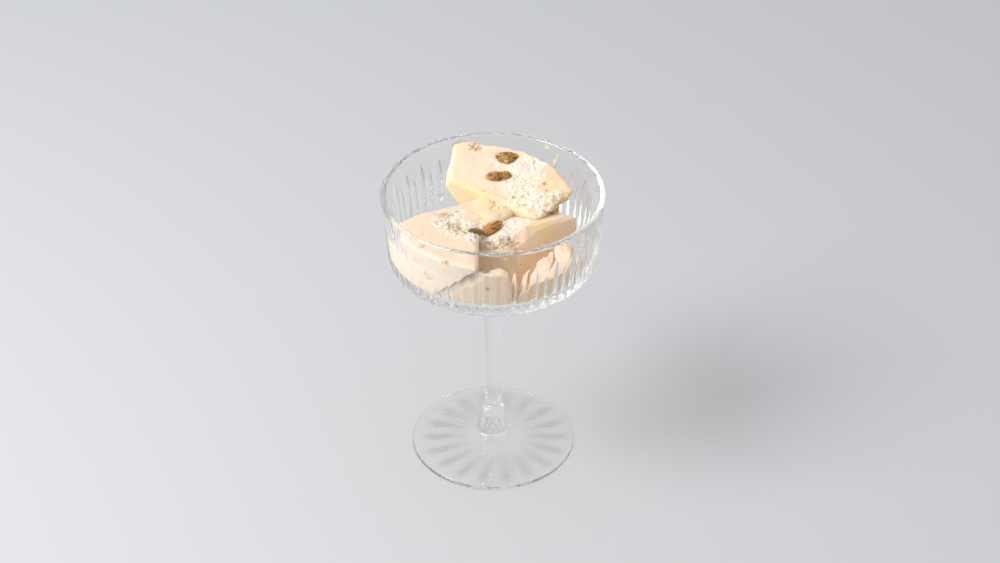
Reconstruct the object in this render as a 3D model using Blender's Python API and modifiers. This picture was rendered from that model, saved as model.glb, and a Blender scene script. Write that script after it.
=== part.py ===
"""A stemmed coupe of cut glass that holds six broken blocks of kulfi, three sultanas and a pistachio.

Metres, +Z up. The origin is the centre of the foot on the table, and the camera side is -Y.
"""

import math

import bmesh
import bpy
from mathutils import Matrix, Vector, noise

MM = 0.001

# The coupe's driving dimensions
HEIGHT = 147 * MM
RIM_RADIUS = 52 * MM
FOOT_RADIUS = 40 * MM
STEM_RADIUS = 3.3 * MM
LIP_THICKNESS = 2.7 * MM
BASE_THICKNESS = 4.8 * MM

# The bowl: a wall that leans out, a soft corner and a nearly flat underside
WALL_BOTTOM_Z = 114.5 * MM
WALL_BOTTOM_RADIUS = 49.1 * MM
UNDERSIDE_Z = 107.4 * MM
UNDERSIDE_RADIUS = 42 * MM
INNER_FLOOR_Z = UNDERSIDE_Z + BASE_THICKNESS
INNER_WALL_BOTTOM_Z = 117.5 * MM
INNER_WALL_BOTTOM_RADIUS = 45.7 * MM

# The stem: a long taper, a small flared collar, and a bell that sits on the foot
COLLAR_Z = 19.8 * MM
COLLAR_RADIUS = 5.5 * MM
BELL_Z = 9.6 * MM
BELL_RADIUS = 8.1 * MM
FOOT_EDGE_THICKNESS = 2.6 * MM
FOOT_RING_WIDTH = 2.8 * MM
FOOT_HOLLOW = 4.8 * MM

# Points (radius, height) that the outline passes, and the bends that pull it into curves
BOWL_BEND = (48.4 * MM, 108.2 * MM)
STEM_START = (15 * MM, 106 * MM)
NECK_BEND = (5.6 * MM, 105.4 * MM)
NECK = (5 * MM, 96 * MM)
TAPER_BEND = (3.9 * MM, 75 * MM)
STEM_TOP = (STEM_RADIUS, 54 * MM)
STEM_BOTTOM = (STEM_RADIUS, 38 * MM)
COLLAR_BEND = (3.5 * MM, 25 * MM)
COLLAR_UNDERCUT = 0.7 * MM
BELL_BEND = (7.2 * MM, 15.5 * MM)
BELL_FOOT = (BELL_RADIUS + 0.6 * MM, BELL_Z - 1.2 * MM)
FOOT_BEND = (20 * MM, 4.6 * MM)
HOLLOW_BEND = (18 * MM, 2.6 * MM)
INNER_CORNER_WIDTH = 5.5 * MM

# The cuts: tall and short flutes in turn round the bowl, and petals under the foot
TURN_STEPS = 60
FLUTE_PAIRS = TURN_STEPS // 2
TALL_FLUTE = {"top": 140 * MM, "half_width": 3 * MM, "depth": 1.3 * MM}
SHORT_FLUTE = {"top": 134.5 * MM, "half_width": 2.3 * MM, "depth": 0.95 * MM}
FLUTE_END_RADIUS = 40.5 * MM
FLUTE_STAND_OFF = 1 * MM
FLUTE_GROWS = 0.55
FLUTE_FADES = 0.36
PETALS = 18
PETAL_RADII = (10.5 * MM, 31 * MM)
PETAL_HALF_WIDTH = 3.6 * MM
PETAL_DEPTH = 0.7 * MM
PETAL_SHAPE = ((0, 0), (0.6, 1), (1, 0))
PETAL_HEIGHTS = (3.7 * MM, 1.15 * MM)

# The kulfi keeps this gap to the glass and to its neighbours
GAP = 0.3 * MM
VOXEL = 1.1 * MM
SMOOTHING = 1
BLOCK_TRIANGLES = 500
CRUMB_DEPTH = 1.3 * MM
CRUMB_PERIOD = 7 * MM
CRUMB_SHARES = (0.5, 0.9, 0.45)
FINE_CRUMBS = 2.3
CUT_FACE_SPREAD = 0.93
CUT_FACE_CRUMBS = 0.25

CREAM = (0.93, 0.78, 0.55, 1)
SULTANA = (0.36, 0.16, 0.04, 1)
PISTACHIO = (0.2, 0.15, 0.04, 1)


def clear_scene():
    for thing in list(bpy.data.objects):
        bpy.data.objects.remove(thing)


def new_collection(name):
    made = bpy.data.collections.new(name)
    bpy.context.scene.collection.children.link(made)
    return made


def material(name, colour, roughness, transmission=0.0):
    made = bpy.data.materials.new(name)
    made.use_nodes = True
    shader = made.node_tree.nodes["Principled BSDF"]
    shader.inputs["Base Color"].default_value = colour
    shader.inputs["Roughness"].default_value = roughness
    shader.inputs["Metallic"].default_value = 0.0
    shader.inputs["Transmission Weight"].default_value = transmission
    return made


def add_object(name, mesh, collection):
    made = bpy.data.objects.new(name, mesh)
    collection.objects.link(made)
    return made


def add_cutter(name, mesh, collection):
    made = add_object(name, mesh, collection)
    made.hide_render = True
    made.display_type = "WIRE"
    return made


def apply_modifiers(thing):
    """The object's mesh becomes the one that its modifiers make."""
    graph = bpy.context.evaluated_depsgraph_get()
    old = thing.data
    thing.data = bpy.data.meshes.new_from_object(thing.evaluated_get(graph))
    thing.modifiers.clear()
    bpy.data.meshes.remove(old)


# Outlines, as points (radius, height)


def curve(start, bend, end, steps):
    """A quadratic curve from start to end, pulled towards bend, without its first point."""
    points = []
    for i in range(1, steps + 1):
        t = i / steps
        points.append(tuple(
            (1 - t) ** 2 * a + 2 * t * (1 - t) * b + t * t * c for a, b, c in zip(start, bend, end)
        ))
    return points


def inner_outline(inset):
    """The hollow of the bowl from the middle of its floor up to the lip, drawn in by inset."""
    floor = INNER_FLOOR_Z + inset
    corner = INNER_WALL_BOTTOM_RADIUS - inset
    lip = RIM_RADIUS - LIP_THICKNESS - inset
    outline = [(0, floor), (corner - INNER_CORNER_WIDTH, floor)]
    outline += curve(outline[-1], (corner - 0.5 * MM, floor), (corner, INNER_WALL_BOTTOM_Z), 3)
    outline.append((lip, HEIGHT - LIP_THICKNESS / 2))
    return outline


def lip_outline():
    centre = RIM_RADIUS - LIP_THICKNESS / 2
    half = LIP_THICKNESS / 2
    angles = [math.radians(a) for a in (135, 90, 45, 0)]
    return [(centre + half * math.cos(a), HEIGHT - half + half * math.sin(a)) for a in angles]


def bowl_outline():
    """The outside of the bowl, from the wall's lower end to where the stem begins."""
    outline = [(WALL_BOTTOM_RADIUS, WALL_BOTTOM_Z)]
    outline += curve(outline[-1], BOWL_BEND, (UNDERSIDE_RADIUS, UNDERSIDE_Z), 3)
    outline.append(STEM_START)
    return outline


def stem_outline():
    outline = curve(STEM_START, NECK_BEND, NECK, 3)
    outline += curve(outline[-1], TAPER_BEND, STEM_TOP, 2)
    outline.append(STEM_BOTTOM)
    outline += curve(outline[-1], COLLAR_BEND, (COLLAR_RADIUS, COLLAR_Z), 3)
    outline.append((COLLAR_RADIUS - COLLAR_UNDERCUT, COLLAR_Z - COLLAR_UNDERCUT))
    outline += curve(outline[-1], BELL_BEND, (BELL_RADIUS, BELL_Z), 3)
    return outline


def foot_outline():
    edge = FOOT_EDGE_THICKNESS
    outline = [BELL_FOOT]
    outline += curve(outline[-1], FOOT_BEND, (FOOT_RADIUS - edge / 2, edge), 4)
    outline += [(FOOT_RADIUS - 0.2 * MM, edge * 0.7), (FOOT_RADIUS, edge * 0.4), (FOOT_RADIUS - 0.6 * MM, 0)]
    ring = FOOT_RADIUS - 0.6 * MM - FOOT_RING_WIDTH
    outline.append((ring, 0))
    outline += curve(outline[-1], HOLLOW_BEND, (0, FOOT_HOLLOW), 4)
    return outline


def turned(name, outline, collection, steps=TURN_STEPS):
    """A solid turned about Z from an outline that starts and ends on the axis."""
    mesh = bpy.data.meshes.new(name)
    edges = [(i, i + 1) for i in range(len(outline) - 1)]
    mesh.from_pydata([(r, 0, z) for r, z in outline], edges, [])
    made = add_object(name, mesh, collection)
    screw = made.modifiers.new("turn", "SCREW")
    screw.steps = screw.render_steps = steps
    screw.use_merge_vertices = True
    screw.merge_threshold = 1e-5
    return made


def spindle(name, profile, sides, collection):
    """A cutter turned about its own +Z from (radius, height) points, pointed at its first one."""
    bm = bmesh.new()
    points = [bm.verts.new((r, 0, z)) for r, z in profile]
    edges = [bm.edges.new(pair) for pair in zip(points, points[1:])]
    bmesh.ops.spin(
        bm, geom=points + edges, axis=(0, 0, 1), cent=(0, 0, 0), angle=math.tau, steps=sides,
        use_merge=True,
    )
    bmesh.ops.remove_doubles(bm, verts=bm.verts, dist=1e-6)
    bmesh.ops.recalc_face_normals(bm, faces=bm.faces)
    mesh = bpy.data.meshes.new(name)
    bm.to_mesh(mesh)
    bm.free()
    return add_cutter(name, mesh, collection)


def wall_radius(z):
    """The outside of the bowl's wall at height z, carried on below its lower end."""
    top_z = HEIGHT - LIP_THICKNESS / 2
    lean = (RIM_RADIUS - WALL_BOTTOM_RADIUS) / (top_z - WALL_BOTTOM_Z)
    return WALL_BOTTOM_RADIUS + lean * (z - WALL_BOTTOM_Z)


def flute_path(top):
    """A flute's way down the wall, round the corner and in along the underside, as (radius, height)."""
    down = [top, top + (WALL_BOTTOM_Z - top) * 0.35]
    corner = bowl_outline()
    slope = (UNDERSIDE_Z - STEM_START[1]) / (UNDERSIDE_RADIUS - STEM_START[0])
    last = UNDERSIDE_Z - slope * (UNDERSIDE_RADIUS - FLUTE_END_RADIUS)
    return [(wall_radius(z), z) for z in down] + corner[:-1] + [(FLUTE_END_RADIUS, last)]


def flute(name, angle, size, collection):
    """One wheel cut: a diamond carried down the path, pointed at both of its ends."""
    path = [Vector((r, 0, z)) for r, z in flute_path(size["top"])]
    lengths = [0]
    for a, b in zip(path, path[1:]):
        lengths.append(lengths[-1] + (b - a).length)
    bm = bmesh.new()
    rings = []
    for i, point in enumerate(path):
        along = (path[min(i + 1, len(path) - 1)] - path[max(i - 1, 0)]).normalized()
        out = along.cross(Vector((0, -1, 0)))
        s = lengths[i] / lengths[-1]
        grown = 1 - (1 - s / FLUTE_GROWS) ** 2 if s < FLUTE_GROWS else 1
        swell = min(grown, (1 - s) / FLUTE_FADES)
        side = Vector((0, size["half_width"] * swell, 0))
        top = point + out * (FLUTE_STAND_OFF * min(1, swell * 4))
        if swell == 0:
            rings.append([bm.verts.new(point)] * 4)
            continue
        places = (top, point + side, point - out * (size["depth"] * swell), point - side)
        rings.append([bm.verts.new(place) for place in places])
    for first, second in zip(rings, rings[1:]):
        for i in range(4):
            corners = [first[i], first[(i + 1) % 4], second[(i + 1) % 4], second[i]]
            bm.faces.new(list(dict.fromkeys(corners)))
    bmesh.ops.recalc_face_normals(bm, faces=bm.faces)
    mesh = bpy.data.meshes.new(name)
    bm.to_mesh(mesh)
    bm.free()
    mesh.transform(Matrix.Rotation(angle, 4, "Z"))
    return add_cutter(name, mesh, collection)


def petal(name, angle, collection):
    """One shallow petal cut into the hollow under the foot."""
    inner, outer = PETAL_RADII
    profile = [(width, -share * (outer - inner)) for share, width in PETAL_SHAPE]
    cutter = spindle(name, profile, 4, collection)
    stretch = Matrix.Diagonal((PETAL_DEPTH, PETAL_HALF_WIDTH, 1, 1))
    start = Vector((inner, 0, PETAL_HEIGHTS[0]))
    slope = math.atan2(PETAL_HEIGHTS[0] - PETAL_HEIGHTS[1], outer - inner)
    lay = Matrix.Rotation(-math.pi / 2 + slope, 4, "Y")
    cutter.data.transform(Matrix.Rotation(angle, 4, "Z") @ Matrix.Translation(start) @ lay @ stretch)
    return cutter


def make_glass(parts, cuts):
    outline = inner_outline(0) + lip_outline() + bowl_outline() + stem_outline() + foot_outline()
    glass = turned("coupe_glass", outline, parts)
    step = math.tau / FLUTE_PAIRS
    for i in range(FLUTE_PAIRS):
        flute(f"tall_flute_{i:02d}", step * (i + 0.25), TALL_FLUTE, cuts)
        flute(f"short_flute_{i:02d}", step * (i + 0.75), SHORT_FLUTE, cuts)
    for i in range(PETALS):
        petal(f"petal_{i:02d}", math.tau * (i + 0.5) / PETALS, cuts)
    cut = glass.modifiers.new("cuts", "BOOLEAN")
    cut.operation = "DIFFERENCE"
    cut.solver = "EXACT"
    cut.operand_type = "COLLECTION"
    cut.collection = cuts
    apply_modifiers(glass)
    glass.data.materials.append(material("clear_glass", (1, 1, 1, 1), 0.0, 1.0))
    return glass


# The kulfi, in millimetres. A block is one or two hulls of corners, each cut off at its seams.

HULLS = {
    "top": [
        (-18.5, 45, 146), (-11, 46, 146), (14.4, 41, 143.7), (28.5, 32, 140.8), (38.8, 17.8, 135.3),
        (29.5, 6.5, 133.6), (20.5, -2.5, 131.6), (-21.5, 21.5, 139.2), (-22.6, 23, 134),
        (-20.6, 22, 130.6), (-17.5, 19, 127.6), (-13, 16.5, 126), (8, 6, 121), (18, 1.5, 125),
        (30, 16, 125), (24, 38, 124), (-5, 42, 128), (-17, 41, 134),
    ],
    "left": [
        (-42.5, -13, 139), (-31.3, -3.5, 137.5), (-23.1, 2, 134.7), (-13.4, 10, 133.6), (-7, 11, 134),
        (-6.4, -10, 134), (-6.6, -22, 135.3), (-6.6, -49, 137.8), (-25, -44, 139), (-42, -29, 140),
        (-48, -12, 131), (-46, -8, 113), (-34, 0, 111), (-22, 8, 111), (-7, 14, 111),
        (-6.6, -17, 111), (-6.6, -48, 111), (-38, -34, 111),
    ],
    "left_lobe": [
        (-18, 8, 133), (-9, 13.5, 134), (-3, 11.5, 135.4), (1, 10, 135.2), (5.5, 8, 134.4),
        (10.5, 6.5, 133), (14, 5, 131), (-16, -14, 134), (-4.5, -20, 134), (9, 12, 111), (-14, 13, 111),
        (-14, -15, 111), (-3.5, -17, 111),
    ],
    "right": [
        (-5, -17.5, 131.8), (3, -5, 132), (8.5, 7, 131.8), (19.6, 4.5, 131.5), (28.6, 1, 132.1),
        (13.6, -10.6, 133.2), (11.6, -15.4, 131.9), (10.4, -20.4, 130), (-8, -27, 129), (6, -27.6, 127),
        (39.4, 8.6, 127.4), (37.5, -1, 111), (38, 9, 113), (28, 9, 111), (8, 9, 111), (-8, -13, 111),
        (-8, -30, 111), (4, -31, 111), (12.4, -25.5, 111),
    ],
    "back": [
        (9, 16, 111), (30, 11.5, 111), (32, 30, 111), (24, 40, 111), (8, 39, 111),
        (12, 17, 127), (23, 12.5, 127.5), (31, 15.5, 127.5), (31, 29, 128), (12, 34, 127),
    ],
    "front": [
        (-31, -42, 119.5), (-9, -49, 135.5), (2, -50, 134.4), (6.5, -48, 132.5), (8.2, -46, 125),
        (10.5, -45, 111), (-33, -38, 111), (-9, -30, 111), (10, -32, 111), (5, -39, 131),
    ],
    "low": [
        (6.5, -31.5, 111), (25, -16, 111), (36.5, -7, 111), (46, -12, 112), (42, -24, 111),
        (26, -43, 111), (6.5, -47, 111), (16, -27, 122), (26, -18, 123.5), (36, -10, 122),
        (44, -17, 125), (26, -42, 127), (17, -46, 126), (12, -46, 121),
    ],
}

# A block's hulls, and the directions that its knife-cut faces look in
BLOCKS = {
    "kulfi_top": (["top"], [(-0.475, -0.88, 0), (0.03, -0.28, 0.96), (-0.95, 0.1, -0.25)]),
    "kulfi_left": (["left", "left_lobe"], [(1, -0.05, 0), (-0.1, 0, 1)]),
    "kulfi_right": (["right"], [(0.61, -0.71, 0.34), (0, 0, 1)]),
    "kulfi_back": (["back"], [(0, -1, 0)]),
    "kulfi_front": (["front"], [(0, -1, 0)]),
    "kulfi_low": (["low"], [(0.5, -0.8, 0)]),
}

# A seam is a plane through a point. Its normal points from the second hulls into the first.
LEFT = ("left", "left_lobe")
SEAMS = [
    (("top",), LEFT, (-20.6, 21.2, 138), (0.475, 0.88, 0)),
    (("top",), ("right",), (19.6, -0.5, 130.9), (0, 0.25, 0.97)),
    (("top",), ("back",), (28, 20, 126.3), (0, -0.1, 1)),
    (("right",), ("left_lobe",), (-5.5, -17.5, 130), (0.822, -0.57, 0)),
    (("right",), ("left",), (-6.4, -20, 130), (1, 0, 0)),
    (("left",), ("front",), (-9.5, -46, 133.8), (-0.35, 0.65, 0.67)),
    (("low",), ("front",), (8.6, -45, 112), (1, 0, 0)),
    (("back",), ("right",), (20, 10.8, 115), (0, 1, 0)),
    (("back",), LEFT, (9.5, 13, 115), (0.9, 0.4, 0)),
]

# Each topping: its centre, its long, wide and thick half sizes, its heading and its tilt in degrees
TOPPINGS = {
    "sultana_upper": ((6.7, 35.6, 142.6), (5.3, 3.3, 2.4), 3, 16),
    "sultana_lower": ((2.9, 24, 139.3), (6.1, 2.9, 2.3), 8, 16),
    "sultana_valley": ((-0.3, -10.4, 132.9), (6.6, 2.8, 2.5), 48, 0),
    "pistachio_valley": ((-8.4, -16.6, 134.6), (3.9, 2.5, 2.1), 20, 0),
}
WRINKLES = 0.45 * MM


def inner_radius(z):
    """The hollow of the bowl at height z, less the gap."""
    outline = inner_outline(GAP)
    for (r1, z1), (r2, z2) in zip(outline[1:], outline[2:]):
        if z <= z2:
            return r1 + (r2 - r1) * max(0, (z - z1)) / (z2 - z1)
    return outline[-1][0]


def keep_inside(mesh):
    """Each point is drawn into the hollow of the bowl, which is convex, so no face leaves it."""
    for v in mesh.vertices:
        v.co.z = max(v.co.z, INNER_FLOOR_Z + GAP)
        reach = math.hypot(v.co.x, v.co.y)
        limit = inner_radius(v.co.z)
        if reach > limit:
            v.co.x *= limit / reach
            v.co.y *= limit / reach


def hull(name):
    """The hull's mesh, cut off half a gap short of each seam."""
    bm = bmesh.new()
    for corner in HULLS[name]:
        bm.verts.new(Vector(corner) * MM)
    made = bmesh.ops.convex_hull(bm, input=bm.verts)
    bmesh.ops.delete(bm, geom=made["geom_interior"], context="VERTS")
    for first, second, point, normal in SEAMS:
        if name in first + second:
            side = 1 if name in first else -1
            inward = Vector(normal).normalized() * side
            cut = bmesh.ops.bisect_plane(
                bm, geom=bm.verts[:] + bm.edges[:] + bm.faces[:], clear_inner=True,
                plane_co=Vector(point) * MM + inward * GAP / 2, plane_no=inward,
            )
            rim = [e for e in cut["geom_cut"] if isinstance(e, bmesh.types.BMEdge) and e.is_boundary]
            bmesh.ops.edgeloop_fill(bm, edges=rim)
    bmesh.ops.recalc_face_normals(bm, faces=bm.faces)
    mesh = bpy.data.meshes.new(name)
    bm.to_mesh(mesh)
    bm.free()
    return mesh


def joined(name, meshes, collection):
    bm = bmesh.new()
    for mesh in meshes:
        bm.from_mesh(mesh)
    whole = bpy.data.meshes.new(name)
    bm.to_mesh(whole)
    bm.free()
    return add_object(name, whole, collection)


def face_out(mesh):
    bm = bmesh.new()
    bm.from_mesh(mesh)
    bmesh.ops.recalc_face_normals(bm, faces=bm.faces)
    if bm.calc_volume(signed=True) < 0:
        bmesh.ops.reverse_faces(bm, faces=bm.faces)
    bm.to_mesh(mesh)
    bm.free()


def seam_directions(hulls):
    """The directions that the hulls' seam faces look in."""
    found = []
    for first, second, _, normal in SEAMS:
        if set(first) & set(hulls):
            found.append(-Vector(normal))
        elif set(second) & set(hulls):
            found.append(Vector(normal))
    return found


def crumble(mesh, hulls, cuts, seed):
    """Broken sides are eaten in by crumbs, and knife cuts and seams stay nearly flat."""
    shift = Vector((seed * 17.3, seed * 5.1, seed * 9.7))
    flat = [Vector(cut).normalized() for cut in cuts] + seam_directions(hulls)
    moves = []
    for v in mesh.vertices:
        here = v.co / CRUMB_PERIOD + shift
        coarse = noise.noise(here)
        fine = noise.noise(here * FINE_CRUMBS)
        eaten = max(0, CRUMB_SHARES[0] + coarse * CRUMB_SHARES[1] + fine * CRUMB_SHARES[2])
        facing = max([v.normal.dot(n) for n in flat])
        rough = CUT_FACE_CRUMBS if facing > CUT_FACE_SPREAD else 1
        moves.append(v.co - v.normal * (eaten * rough * CRUMB_DEPTH))
    for v, place in zip(mesh.vertices, moves):
        v.co = place


def block(name, parts, surface, seed):
    hulls, cuts = BLOCKS[name]
    made = joined(name, [hull(part) for part in hulls], parts)
    remesh = made.modifiers.new("even", "REMESH")
    remesh.mode = "VOXEL"
    remesh.voxel_size = VOXEL
    soften = made.modifiers.new("soften", "SMOOTH")
    soften.iterations = SMOOTHING
    apply_modifiers(made)
    face_out(made.data)
    crumble(made.data, hulls, cuts, seed)
    keep_inside(made.data)
    made.data.update()
    fewer = made.modifiers.new("fewer", "DECIMATE")
    fewer.ratio = BLOCK_TRIANGLES / (2 * len(made.data.polygons))
    apply_modifiers(made)
    keep_inside(made.data)
    made.data.materials.clear()
    made.data.materials.append(surface)
    return made


def topping(name, collection, grow=0.0, wrinkles=WRINKLES):
    """A wrinkled kernel. Grown by a gap and left smooth, it is the cutter of its own pocket."""
    centre, half, heading, tilt = TOPPINGS[name]
    bm = bmesh.new()
    bmesh.ops.create_icosphere(bm, subdivisions=3 if wrinkles else 2, radius=1)
    for v in bm.verts:
        fold = noise.noise(Vector((v.co.x * 1.2, v.co.y * 3, v.co.z * 3)) + Vector(centre))
        size = [h * MM + grow for h in half]
        squeeze = 1 - 0.18 * v.co.x * v.co.x
        v.co = Vector((v.co.x * size[0], v.co.y * size[1] * squeeze, v.co.z * size[2]))
        v.co -= v.co.normalized() * (wrinkles * (0.5 + fold))
    mesh = bpy.data.meshes.new(name)
    bm.to_mesh(mesh)
    bm.free()
    turn = Matrix.Rotation(math.radians(heading), 4, "Z")
    lean = Matrix.Rotation(math.radians(tilt), 4, "X")
    mesh.transform(Matrix.Translation(Vector(centre) * MM) @ turn @ lean)
    return add_object(name, mesh, collection)


def pocket(blocks, name, collection):
    """The bed that a topping has sunk into, taken from every block it meets."""
    bed = topping(name, collection, GAP, 0)
    bed.name = name + "_bed"
    bed.hide_render = True
    bed.display_type = "WIRE"
    for made in blocks:
        reach = (Vector(TOPPINGS[name][0]) * MM - nearest(made, TOPPINGS[name][0])).length
        if reach < max(TOPPINGS[name][1]) * MM:
            cut = made.modifiers.new(name, "BOOLEAN")
            cut.object = bed
            cut.operation = "DIFFERENCE"
            cut.solver = "MANIFOLD"
            apply_modifiers(made)


def nearest(thing, place):
    return thing.closest_point_on_mesh(Vector(place) * MM)[1]


def main():
    clear_scene()
    parts = new_collection("kulfi_coupe")
    cuts = new_collection("glass_cuts")
    beds = new_collection("topping_beds")
    make_glass(parts, cuts)
    kulfi = material("kulfi_cream", CREAM, 0.55)
    blocks = [block(name, parts, kulfi, seed) for seed, name in enumerate(BLOCKS)]
    bpy.context.view_layer.update()
    for name in TOPPINGS:
        colour = PISTACHIO if name.startswith("pistachio") else SULTANA
        made = topping(name, parts)
        made.data.materials.append(material(name, colour, 0.3))
        pocket(blocks, name, beds)


main()
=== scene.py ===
"""Broken blocks of pistachio kulfi in a stemmed coupe of cut glass, dressed around the part."""

import math
import random

import bpy
import numpy as np
from mathutils import Matrix, Vector, noise
from mathutils.bvhtree import BVHTree

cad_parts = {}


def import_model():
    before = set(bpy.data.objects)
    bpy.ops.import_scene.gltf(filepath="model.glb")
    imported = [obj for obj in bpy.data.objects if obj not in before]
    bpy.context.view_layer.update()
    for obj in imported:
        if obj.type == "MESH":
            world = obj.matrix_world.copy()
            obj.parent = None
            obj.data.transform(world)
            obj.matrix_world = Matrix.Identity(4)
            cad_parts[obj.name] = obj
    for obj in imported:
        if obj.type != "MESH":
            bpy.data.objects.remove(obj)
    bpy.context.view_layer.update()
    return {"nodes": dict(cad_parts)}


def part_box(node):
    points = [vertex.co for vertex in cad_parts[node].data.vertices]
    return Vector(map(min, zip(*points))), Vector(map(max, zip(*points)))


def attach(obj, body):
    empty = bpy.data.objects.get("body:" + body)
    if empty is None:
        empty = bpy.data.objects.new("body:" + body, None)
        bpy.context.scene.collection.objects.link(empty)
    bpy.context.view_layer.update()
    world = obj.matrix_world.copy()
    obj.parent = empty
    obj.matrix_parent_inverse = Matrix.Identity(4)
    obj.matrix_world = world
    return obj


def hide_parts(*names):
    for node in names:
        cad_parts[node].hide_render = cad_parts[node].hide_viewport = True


MM = 0.001
MERGE = 1e-6
BODY = "root"

# The photograph's camera
LENS = 85
EYE = (3.38 * MM, -910 * MM, 741.7 * MM)
PITCH = math.radians(35.37)

# The light
MIDDLE = Vector((0, 0, 0.08))
BRIGHT_SIDE = (-0.45, -0.3, 0.84)

# The coupe
HEIGHT = 147 * MM
RIM_RADIUS = 52 * MM
LIP_RADIUS = 1.35 * MM
WALL_BOTTOM = (49.1 * MM, 114.5 * MM)
CORNER_PULL = (48.4 * MM, 108.2 * MM)
UNDERSIDE = (42 * MM, 107.4 * MM)
FLOOR_Z = 112.2 * MM
INNER_CORNER = (45.7 * MM, 117.5 * MM)
INNER_CORNER_WIDTH = 5.5 * MM
FLOOR_STEPS = 5
STEM_TOP = (15 * MM, 106 * MM)
STEM_FOOT = (8.1 * MM, 9.6 * MM)
FLUTE_PAIRS = 30
TALL_FLUTE = (140 * MM, 3 * MM, 1.3 * MM)  # top, half width, depth
SHORT_FLUTE = (134.5 * MM, 2.3 * MM, 0.95 * MM)
FLUTE_END = (40.5 * MM, 107.32 * MM)
FLUTE_GROWS = 0.25
FLUTE_FADES = 0.45
FLUTE_STEPS = 30
TOOL_RUNS_ON = 40 * MM  # how far a flute's tool goes past its ends
TOOL_CLEAR = 0.05 * MM
PETALS = 18
PETAL_LENS = (15.9 * MM, 4.8 * MM, 1.8 * MM)
PETAL_PLACE = (22.8 * MM, 0, 0.42 * MM)
PETAL_LEAN = math.atan2(2.75, 22)
TURN_STEPS = 240
SMOOTH_ANGLE = math.radians(24)


def deselect():
    for thing in bpy.context.selected_objects:
        thing.select_set(False)


def pick(thing):
    deselect()
    thing.select_set(True)
    bpy.context.view_layer.objects.active = thing


def add_modifier(thing, kind, **settings):
    """One modifier, set and applied."""
    pick(thing)
    made = thing.modifiers.new(kind.lower(), kind)
    for name, value in settings.items():
        setattr(made, name, value)
    bpy.ops.object.modifier_apply(modifier=made.name)


def edit_all(thing, operator, **settings):
    """One edit mode operator on the whole mesh."""
    pick(thing)
    bpy.ops.object.mode_set(mode="EDIT")
    bpy.ops.mesh.select_all(action="SELECT")
    operator(**settings)
    bpy.ops.object.mode_set(mode="OBJECT")


def merge_points(thing):
    edit_all(thing, bpy.ops.mesh.remove_doubles, threshold=MERGE)


def face_out(thing):
    edit_all(thing, bpy.ops.mesh.normals_make_consistent, inside=False)


def smooth(thing):
    pick(thing)
    bpy.ops.object.shade_smooth()


def values_of(thing, name):
    """What the mesh's points hold under a name, as an array, one row each."""
    found = np.empty(len(thing.data.vertices) * 3)
    thing.data.vertices.foreach_get(name, found)
    return found.reshape(-1, 3)


def points_of(thing):
    return values_of(thing, "co")


def normals_of(thing):
    return values_of(thing, "normal")


def set_points(thing, points):
    thing.data.vertices.foreach_set("co", points.astype(np.float32).ravel())
    thing.data.update()


def add_object(name, data):
    made = bpy.data.objects.new(name, data)
    bpy.context.scene.collection.objects.link(made)
    return made


def moved_copy(thing, matrix):
    """A copy with its own mesh, moved there."""
    made = thing.copy()
    made.data = thing.data.copy()
    made.data.transform(matrix)
    bpy.context.scene.collection.objects.link(made)
    return made


def join(things, name):
    deselect()
    for thing in things:
        thing.select_set(True)
    bpy.context.view_layer.objects.active = things[0]
    if len(things) > 1:
        bpy.ops.object.join()
    things[0].name = name
    return things[0]


# The coupe's outlines, as points (radius, height)


def curve(start, bend, end, steps):
    """A quadratic curve from start to end, pulled towards bend, without its first point."""
    points = []
    for i in range(1, steps + 1):
        t = i / steps
        points.append(tuple(
            (1 - t) ** 2 * a + 2 * t * (1 - t) * b + t * t * c for a, b, c in zip(start, bend, end)
        ))
    return points


def line(start, end, steps):
    """A straight run in equal steps, without its first point."""
    return [
        tuple(a + (b - a) * i / steps for a, b in zip(start, end)) for i in range(1, steps + 1)
    ]


def hollow_outline():
    """The inside of the bowl, from the middle of its floor to the lip."""
    corner, height = INNER_CORNER
    outline = [(0, FLOOR_Z)]
    outline += line(outline[0], (corner - INNER_CORNER_WIDTH, FLOOR_Z), FLOOR_STEPS)
    outline += curve(outline[-1], (corner - 0.5 * MM, FLOOR_Z), (corner, height), 10)
    outline += line(outline[-1], (RIM_RADIUS - 2 * LIP_RADIUS, HEIGHT - LIP_RADIUS), 6)
    return outline


def wall_at(heights):
    """The inner wall's radius at these heights."""
    outline = hollow_outline()[FLOOR_STEPS:]
    return np.interp(heights, [height for _, height in outline], [radius for radius, _ in outline])


def lip_outline():
    """The round lip, from the inside out."""
    centre = RIM_RADIUS - LIP_RADIUS
    angles = [math.radians(a) for a in range(170, -1, -10)]
    return [
        (centre + LIP_RADIUS * math.cos(a), HEIGHT - LIP_RADIUS + LIP_RADIUS * math.sin(a))
        for a in angles
    ]


def bowl_outline():
    """The outside of the bowl, down to the top of the stem."""
    start = (RIM_RADIUS, HEIGHT - LIP_RADIUS)
    outline = line(start, WALL_BOTTOM, 8)
    outline += curve(WALL_BOTTOM, CORNER_PULL, UNDERSIDE, 12)
    outline += line(UNDERSIDE, STEM_TOP, 4)
    return outline


def stem_outline():
    """The stem with its collar and the bell below it."""
    outline = curve(STEM_TOP, (5.6 * MM, 105.4 * MM), (5 * MM, 96 * MM), 12)
    outline += curve(outline[-1], (3.9 * MM, 75 * MM), (3.3 * MM, 54 * MM), 6)
    outline += line(outline[-1], (3.3 * MM, 38 * MM), 2)
    outline += curve(outline[-1], (3.5 * MM, 25 * MM), (5.5 * MM, 19.8 * MM), 10)
    outline += curve(outline[-1], (5.6 * MM, 19.2 * MM), (4.9 * MM, 19 * MM), 4)
    outline += curve((4.8 * MM, 18.8 * MM), (7.2 * MM, 15.5 * MM), STEM_FOOT, 10)
    return outline


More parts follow.
